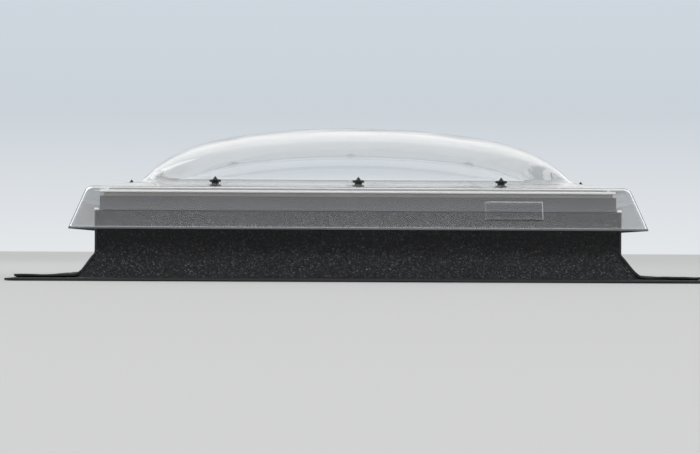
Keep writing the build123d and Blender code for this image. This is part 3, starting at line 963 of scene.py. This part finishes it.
def rubber(name, colour, light):
    """Matt extruded rubber with a bloom in patches."""
    tree = Tree(name)
    bloom = tree.drawn(14.0, 90.0, 4.0)
    pores = tree.noise(tree.place(), 2200.0, 1.0)
    return tree.finish(
        Base_Color=tree.mix(tree.fit(bloom, 0.35, 0.75, 0.0, 1.0), colour, light),
        Roughness=tree.fit(bloom, 0.3, 0.7, 0.62, 0.85),
        Specular_IOR_Level=0.25,
        Normal=tree.bump(pores, 0.00006, 0.6),
    )


def foam(name, colour, scale):
    """Closed-cell foam."""
    tree = Tree(name)
    height, chances = tree.cells(tree.place(), scale)
    return tree.finish(
        Base_Color=tree.mix(chances[0], tuple(value * 0.7 for value in colour), colour),
        Roughness=0.9,
        Normal=tree.bump(height, 0.4 / scale, 0.7),
    )


def moulded_plastic(name, colour, roughness):
    """Moulded plastic with a fine skin."""
    tree = Tree(name)
    skin = tree.noise(tree.place(), 2600.0, 2.0)
    tone = tree.noise(tree.place(), 160.0, 3.0)
    light = tuple(min(1.0, value * 1.5 + 0.004) for value in colour)
    return tree.finish(
        Base_Color=tree.mix(tree.fit(tone, 0.4, 0.7, 0.0, 1.0), colour, light),
        Roughness=tree.fit(tone, 0.3, 0.7, roughness, roughness + 0.14),
        Normal=tree.bump(skin, 0.00004, 0.6),
    )


def plated_steel():
    """Zinc-plated steel with a turned grain and a yellowish passivation."""
    tree = Tree("plated_steel")
    place = tree.place()
    inputs = {0: place, 1: (90.0, 90.0, 2400.0)}
    stretched = tree.add("ShaderNodeVectorMath", inputs, operation="MULTIPLY")
    rings = tree.noise(stretched.outputs[0], 1.0, 2.0)
    tint = tree.fit(tree.noise(place, 120.0, 3.0), 0.35, 0.65, 0.0, 1.0)
    return tree.finish(
        Base_Color=tree.mix(tint, (0.56, 0.56, 0.55), (0.6, 0.56, 0.46)),
        Metallic=1.0,
        Roughness=tree.fit(rings, 0.3, 0.7, 0.26, 0.46),
        Normal=tree.bump(rings, 0.00008, 0.6),
    )


def spacer_aluminium():
    """Mill-finished spacer bar with its row of tiny breathing holes, painted as dots of shade."""
    tree = Tree("mill_aluminium")
    along, _, height = tree.run()
    pitch = 0.004
    middle = sum(corner.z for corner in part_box("pane_spacer")) / 2
    step = tree.math("SUBTRACT", tree.math("FRACT", tree.math("MULTIPLY", along, 1 / pitch)), 0.5)
    sideways = tree.math("POWER", tree.math("MULTIPLY", step, pitch), 2.0)
    upwards = tree.math("POWER", tree.math("SUBTRACT", height, middle), 2.0)
    apart = tree.math("SQRT", tree.math("ADD", sideways, upwards))
    # Painted shade: near-black dots where the breathing holes are, with no holes cut
    painted_hole_shade = tree.fit(apart, 0.00035, 0.00055, 1.0, 0.0)
    drawn = tree.drawn(6.0, 1500.0)
    return tree.finish(
        Base_Color=tree.mix(painted_hole_shade, (0.62, 0.63, 0.64), (0.02, 0.02, 0.02)),
        Metallic=tree.fit(painted_hole_shade, 0.0, 1.0, 1.0, 0.0),
        Roughness=tree.fit(drawn, 0.3, 0.7, 0.3, 0.42),
        Normal=tree.bump(drawn, 0.00006, 0.5),
    )


def wood_fibre():
    """Pressed fibre strip."""
    tree = Tree("wood_fibre")
    fibres = tree.drawn(60.0, 900.0, 4.0)
    return tree.finish(
        Base_Color=tree.ramp(fibres, (0.3, (0.2, 0.14, 0.08)), (0.7, (0.45, 0.34, 0.22))),
        Roughness=0.9,
        Normal=tree.bump(fibres, 0.0005, 0.7),
    )


class ROOFLIGHT_OT_finishes(bpy.types.Operator):
    """Materials of the carried-over pieces"""

    bl_idname = "rooflight.finishes"
    bl_label = "Finishes"

    def execute(self, context):
        colours = context.scene.rooflight_colours
        finishes = {
            "white_plastic": white_plastic(colours),
            "grey_cladding": grey_cladding(colours),
            "warm_grey_rubber": rubber("warm_grey_rubber", (0.2, 0.185, 0.17), (0.25, 0.235, 0.22)),
            "black_rubber": rubber("black_rubber", (0.012, 0.012, 0.012), (0.026, 0.026, 0.026)),
            "grey_foam": foam("grey_foam", (0.36, 0.36, 0.36), 900.0),
            "white_foam": foam("white_foam", (0.8, 0.8, 0.78), 300.0),
            "black_plastic": moulded_plastic("black_plastic", (0.0075, 0.0075, 0.008), 0.4),
            "natural_plastic": moulded_plastic("natural_plastic", (0.7, 0.7, 0.66), 0.4),
            "clear_glass": clear_glass(),
            "plated_steel": plated_steel(),
            "mill_aluminium": spacer_aluminium(),
            "wood_fibre": wood_fibre(),
        }
        for subpart in frame["record"]["subparts"]:
            finish = finishes.get(subpart["material_slot"])
            if finish is not None:
                for slot in NODES[subpart["node"]].material_slots:
                    slot.material = finish
        return {"FINISHED"}


# Stage

FLOOR_HALF = 60
FLOOR_DROP = 0.0002  # keeps the floor just under the felt's lower face
FLOOR_GREY = (0.56, 0.56, 0.55, 1)
GROUND = (0.62, 0.62, 0.61)
# Heights run from 0 straight down over 0.5 at the horizon to 1 overhead
SKY = (
    (0.0, GROUND),
    (0.497, GROUND),
    (0.5, (0.78, 0.80, 0.82)),
    (0.54, (0.60, 0.65, 0.70)),
    (0.576, (0.62, 0.68, 0.74)),
    (0.59, (0.82, 0.83, 0.84)),
    (0.62, (0.84, 0.85, 0.86)),
    (0.69, (1.2, 1.21, 1.22)),
    (0.82, (1.1, 1.11, 1.12)),
    (0.88, (0.82, 0.83, 0.84)),
    (1.0, (0.76, 0.77, 0.78)),
)
# Name, place, width, height and power
LAMPS = (
    ("key", (-3.0, 2.4, 3.6), 2.8, 2.8, 26.0),
    ("front_fill", (0.8, -7.2, 3.0), 18.0, 4.0, 200.0),
)
# From the photograph's perspective fit, with the focal length in its pixels
FOCAL_PIXELS = 1713
SENSOR_WIDTH = 36
CAMERA_LENS = 88.1
CAMERA_PLACE = (-0.070, -4.0075, 0.0595)
CAMERA_AIM = (25.9 / FOCAL_PIXELS, 1.0, 24.9 / FOCAL_PIXELS)
CAMERA_ROLL = radians(0.27)


def make_world(scene):
    """Even sky: bluish over the horizon, brightest a third of the way up, calmer overhead."""
    world = bpy.data.worlds.new("studio")
    scene.world = world
    world.use_nodes = True
    nodes, links = world.node_tree.nodes, world.node_tree.links
    nodes.clear()
    where = nodes.new("ShaderNodeTexCoord")
    split = nodes.new("ShaderNodeSeparateXYZ")
    links.new(where.outputs["Generated"], split.inputs[0])
    share = nodes.new("ShaderNodeMapRange")
    for index, value in ((1, -1.0), (2, 1.0), (3, 0.0), (4, 1.0)):
        share.inputs[index].default_value = value
    links.new(split.outputs["Z"], share.inputs["Value"])
    ramp = nodes.new("ShaderNodeValToRGB")
    links.new(share.outputs[0], ramp.inputs[0])
    set_stops(ramp, SKY)
    background = nodes.new("ShaderNodeBackground")
    links.new(ramp.outputs[0], background.inputs["Color"])
    output = nodes.new("ShaderNodeOutputWorld")
    links.new(background.outputs[0], output.inputs["Surface"])


def make_lamps(scene):
    for name, place, width, height, power in LAMPS:
        lamp = bpy.data.lights.new(name, "AREA")
        lamp.shape = "RECTANGLE"
        lamp.size = width
        lamp.size_y = height
        lamp.energy = power
        holder = bpy.data.objects.new(name, lamp)
        holder.location = place
        holder.rotation_euler = (-Vector(place)).to_track_quat("-Z", "Y").to_euler()
        scene.collection.objects.link(holder)


def make_camera(scene):
    camera = bpy.data.cameras.new("camera")
    camera.lens = CAMERA_LENS
    camera.sensor_width = SENSOR_WIDTH
    camera.clip_start = 0.05
    camera.clip_end = 200
    holder = bpy.data.objects.new("camera", camera)
    turn = Vector(CAMERA_AIM).to_track_quat("-Z", "Y").to_matrix().to_4x4()
    roll = Matrix.Rotation(CAMERA_ROLL, 4, "Z")
    holder.matrix_world = Matrix.Translation(CAMERA_PLACE) @ turn @ roll
    scene.collection.objects.link(holder)
    scene.camera = holder


class ROOFLIGHT_OT_stage(bpy.types.Operator):
    """Floor, world, lamps and camera"""

    bl_idname = "rooflight.stage"
    bl_label = "Stage"

    def execute(self, context):
        scene = context.scene
        scene.view_settings.view_transform = "Standard"
        form = bmesh.new()
        bmesh.ops.create_grid(form, x_segments=1, y_segments=1, size=FLOOR_HALF)
        bmesh.ops.translate(form, verts=form.verts, vec=(0, 0, DECK - FLOOR_DROP))
        mesh = bpy.data.meshes.new("floor")
        form.to_mesh(mesh)
        form.free()
        paint = Tree("pale_floor").finish(
            Base_Color=FLOOR_GREY, Roughness=0.92, Specular_IOR_Level=0.15
        )
        mesh.materials.append(paint)
        floor = bpy.data.objects.new("floor", mesh)
        scene.collection.objects.link(floor)
        make_world(scene)
        make_lamps(scene)
        make_camera(scene)
        return {"FINISHED"}


class ROOFLIGHT_PT_sidebar(bpy.types.Panel):
    """Lists the rooflight's operators"""

    bl_label = "Rooflight"
    bl_idname = "ROOFLIGHT_PT_sidebar"
    bl_space_type = "VIEW_3D"
    bl_region_type = "UI"
    bl_category = "Rooflight"

    def draw(self, context):
        for operator in OPERATORS:
            self.layout.operator(operator.bl_idname)


OPERATORS = (
    ROOFLIGHT_OT_stage,
    ROOFLIGHT_OT_cover,
    ROOFLIGHT_OT_felt,
    ROOFLIGHT_OT_knobs,
    ROOFLIGHT_OT_finishes,
)
CLASSES = (RooflightSizes, RooflightColours, *OPERATORS, ROOFLIGHT_PT_sidebar)


def register():
    for made in CLASSES:
        bpy.utils.register_class(made)
    bpy.types.Scene.rooflight_sizes = bpy.props.PointerProperty(type=RooflightSizes)
    bpy.types.Scene.rooflight_colours = bpy.props.PointerProperty(type=RooflightColours)


def unregister():
    del bpy.types.Scene.rooflight_colours
    del bpy.types.Scene.rooflight_sizes
    for made in reversed(CLASSES):
        bpy.utils.unregister_class(made)


def main():
    """Builds the dressed rooflight."""
    register()
    bpy.ops.rooflight.stage()
    bpy.ops.rooflight.cover()
    bpy.ops.rooflight.felt()
    bpy.ops.rooflight.knobs()
    bpy.ops.rooflight.finishes()


if __name__ == "__main__":
    main()
